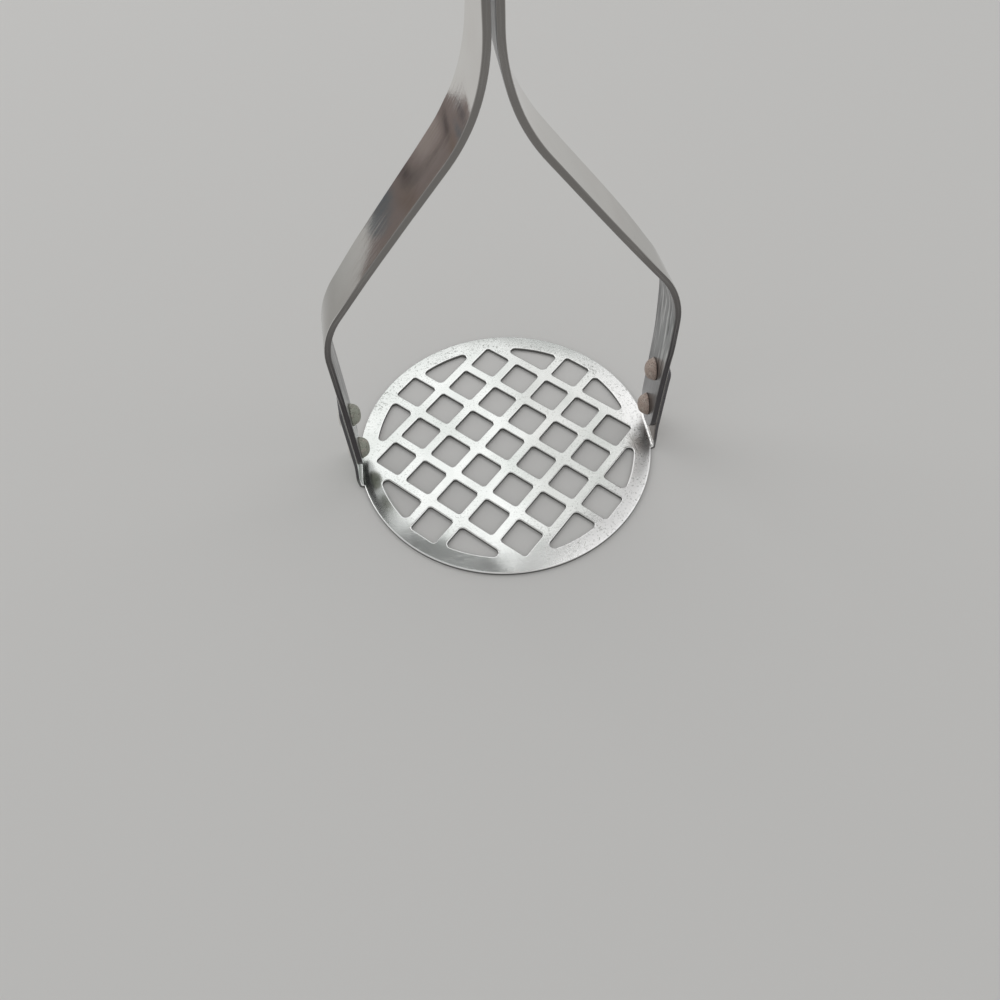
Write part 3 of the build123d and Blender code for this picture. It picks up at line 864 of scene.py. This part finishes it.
def gripWood():
    material, tree, shader = newMaterial("gripWood")
    f = gripFinish
    spot = placeOf(tree)
    # growth rings round an axis well outside the grip, bent by slow noise, show as long arches
    drift = put(tree, "ShaderNodeTexNoise", {"Vector": mapped(tree, spot, scale=(1, 1, 0.12)), "Scale": 60.0,
                                             "Detail": 2.0}).outputs["Color"]
    ringSpot = mapped(tree, spot, location=(0.020, 0.055, 0), scale=(1, 1, 0.06))
    slight = put(tree, "ShaderNodeVectorMath", {0: drift, 1: (0.006, 0.006, 0.006)}, operation="MULTIPLY").outputs[0]
    bent = put(tree, "ShaderNodeVectorMath", {0: ringSpot, 1: slight}, operation="ADD").outputs[0]
    rings = put(tree, "ShaderNodeTexWave", {"Vector": bent, "Scale": 130.0, "Distortion": 1.2, "Detail": 2.0},
                wave_type="RINGS", rings_direction="Z").outputs["Fac"]
    fibre = noise(tree, mapped(tree, spot, scale=(1, 1, 0.03)), 1500.0, 3.0, 0.5)
    fleck = ramp(tree, noise(tree, mapped(tree, spot, scale=(1, 1, 0.12)), 1100.0, 1.0, 0.5),
                 ((0.66, 0.0), (0.72, 0.8)))
    colour = mixColour(tree, calc(tree, "MULTIPLY", rings, 0.55), f["early"], f["late"])
    colour = mixColour(tree, ramp(tree, fibre, ((0.45, 0.0), (0.75, 0.5))), colour, f["late"])
    colour = mixColour(tree, fleck, colour, f["fleck"])
    tree.links.new(colour, shader.inputs["Base Color"])
    rough = calc(tree, "ADD", calc(tree, "MULTIPLY", fibre, 0.2), 0.34)
    tree.links.new(rough, shader.inputs["Roughness"])
    shader.inputs["Coat Weight"].default_value = 0.25
    shader.inputs["Coat Roughness"].default_value = 0.22
    relief = calc(tree, "SUBTRACT", fibre, fleck)
    tree.links.new(bumped(tree, relief, 0.3, 0.00008), shader.inputs["Normal"])
    return material


ferruleFinish = {
    "tone": (0.74, 0.74, 0.73, 1),
    "roughness": 0.30,
    "turned": 0.14,               # how much the lathe's lines vary it
}


# Spun from sheet and brushed as it turned, so its fine lines run round it
def ferruleSteel():
    material, tree, shader = newMaterial("ferruleSteel")
    f = ferruleFinish
    height = split(tree, placeOf(tree))[2]
    lines = noise(tree, put(tree, "ShaderNodeCombineXYZ", {"Z": height}).outputs[0], 4200.0)
    shader.inputs["Base Color"].default_value = f["tone"]
    shader.inputs["Metallic"].default_value = 1.0
    rough = calc(tree, "ADD", calc(tree, "MULTIPLY", lines, f["turned"]), f["roughness"])
    tree.links.new(rough, shader.inputs["Roughness"])
    tree.links.new(bumped(tree, lines, 0.2, 0.00002), shader.inputs["Normal"])
    return material


def dress(piece, material):
    piece.data.materials.clear()
    piece.data.materials.append(material)


armMaterial = armSteel()
rivetMaterial = rivetSteel()
dress(platePiece, plateSteel())
for piece in armPieces.values():
    dress(piece, armMaterial)
for piece in rivetPieces:
    dress(piece, rivetMaterial)
for node, material in (("grip", gripWood()), ("ferrule", ferruleSteel()),
                       ("lower_grip_pin", rivetMaterial), ("upper_grip_pin", rivetMaterial)):
    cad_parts[node].material_slots[0].material = material
print("materials made")


# Studio

# Lamps are given by how bright they look and by place, cards by the points of their outlines
studio = {
    "floor": (0.70, 0.695, 0.68, 1),
    "floorRadius": 4.0,
    "horizon": (0.46, 0.46, 0.46, 1),
    "zenith": (0.52, 0.52, 0.52, 1),
    "lamps": {
        "softbox": {"glow": 0.54, "size": (1.7, 0.85), "place": (0.22, 0.42, 1.10)},
        "window": {"glow": 0.7, "size": (0.85, 0.95), "place": (-0.93, 0.74, 0.66)},
    },
    "cardPlane": ((-0.137, 0.361), (-0.335, 0.193)),
    "cards": {
        "brownCard": {"set": 0.0, "tone": (0.34, 0.285, 0.27, 1), "outline": (
            (0.118, 0.12), (0.118, 0.045), (0.119, 0.031), (0.115, 0.014), (0.110, 0.0), (0.134, 0.0),
            (0.138, 0.014), (0.143, 0.026), (0.147, 0.026), (0.152, 0.0215), (0.157, 0.019), (0.163, 0.015),
            (0.169, 0.010), (0.174, 0.002), (0.22, 0.0), (0.26, 0.12))},
        "blueCard": {"set": 0.002, "tone": (0.20, 0.228, 0.25, 1), "outline": (
            (0.138, 0.046), (0.146, 0.042), (0.153, 0.035), (0.1585, 0.027), (0.1575, 0.0195), (0.152, 0.0215),
            (0.147, 0.026), (0.143, 0.026), (0.139, 0.036))},
        "paleStripe": {"set": 0.003, "tone": (0.50, 0.46, 0.44, 1), "outline": (
            (0.1490, 0.052), (0.1497, 0.052), (0.1550, 0.090), (0.1532, 0.090))},
        "darkStripe": {"set": 0.003, "tone": (0.13, 0.11, 0.105, 1), "outline": (
            (0.1450, 0.053), (0.1470, 0.053), (0.1508, 0.090), (0.1478, 0.090))},
    },
    # soft spots on the brown card: place, reach, tone
    "cardSpots": (((0.139, 0.083), (0.016, 0.004), (0.52, 0.45, 0.425, 1)),
                  ((0.1405, 0.059), (0.0075, 0.002), (0.11, 0.095, 0.095, 1)),
                  ((0.154, 0.056), (0.011, 0.003), (0.28, 0.215, 0.18, 1)),
                  ((0.127, 0.020), (0.011, 0.003), (0.17, 0.155, 0.16, 1))),
}


def stageMesh(name, points, faces, material):
    mesh = bpy.data.meshes.new(name)
    mesh.from_pydata(np.asarray(points).tolist(), [], faces)
    mesh.materials.append(material)
    thing = bpy.data.objects.new(name, mesh)
    bpy.context.scene.collection.objects.link(thing)
    return thing


def buildStudio():
    material, tree, shader = newMaterial("paleFloor")
    shader.inputs["Base Color"].default_value = studio["floor"]
    shader.inputs["Roughness"].default_value = 0.9
    shader.inputs["Specular IOR Level"].default_value = 0.1
    rim = arc((0, 0), studio["floorRadius"], 0, 360, 97)[:-1]
    stageMesh("floor", np.column_stack([rim, np.zeros(len(rim))]), [list(range(len(rim)))], material)

    # low cards behind on the left, out of the picture, that only show where the left arm mirrors them
    start, end = (np.array(p) for p in studio["cardPlane"])
    along = (end - start) / np.linalg.norm(end - start)
    facing = np.array([-along[1], along[0]])
    for name, card in studio["cards"].items():
        material, tree, shader = newMaterial(name)
        if name == "brownCard":
            spot = placeOf(tree, "UV")
            colour = card["tone"]
            for place, reach, tone in studio["cardSpots"]:
                away = put(tree, "ShaderNodeVectorMath", {0: spot, 1: (*place, 0)},
                           operation="DISTANCE").outputs["Value"]
                colour = mixColour(tree, rise(tree, away, *reach), colour, tone)
            tree.links.new(colour, shader.inputs["Base Color"])
        else:
            shader.inputs["Base Color"].default_value = card["tone"]
        shader.inputs["Roughness"].default_value = 0.9
        outline = np.array(card["outline"])
        places = start + along * outline[:, :1] + facing * card["set"]
        thing = stageMesh(name, np.column_stack([places, outline[:, 1]]), [list(range(len(outline)))], material)
        layer = thing.data.uv_layers.new(name="place")
        for loop in thing.data.loops:
            layer.data[loop.index].uv = outline[loop.vertex_index]
        thing.visible_camera = thing.visible_diffuse = thing.visible_shadow = False

    world = bpy.data.worlds.new("softSky")
    world.use_nodes = True
    tree = world.node_tree
    sky = tree.nodes["Background"]
    height = split(tree, placeOf(tree, "Generated"))[2]
    tree.links.new(ramp(tree, height, ((0.0, studio["horizon"]), (0.95, studio["zenith"]))), sky.inputs["Color"])
    bpy.context.scene.world = world

    for name, wish in studio["lamps"].items():
        lamp = bpy.data.lights.new(name, "AREA")
        lamp.shape = "RECTANGLE"
        lamp.size, lamp.size_y = wish["size"]
        lamp.energy = 4 * wish["glow"] * lamp.size * lamp.size_y
        holder = bpy.data.objects.new(name, lamp)
        bpy.context.scene.collection.objects.link(holder)
        place = Vector(wish["place"])
        holder.matrix_world = Matrix.Translation(place) @ place.to_track_quat("Z", "Y").to_matrix().to_4x4()


buildStudio()
bpy.context.scene.view_settings.view_transform = "Standard"
print("studio ready")
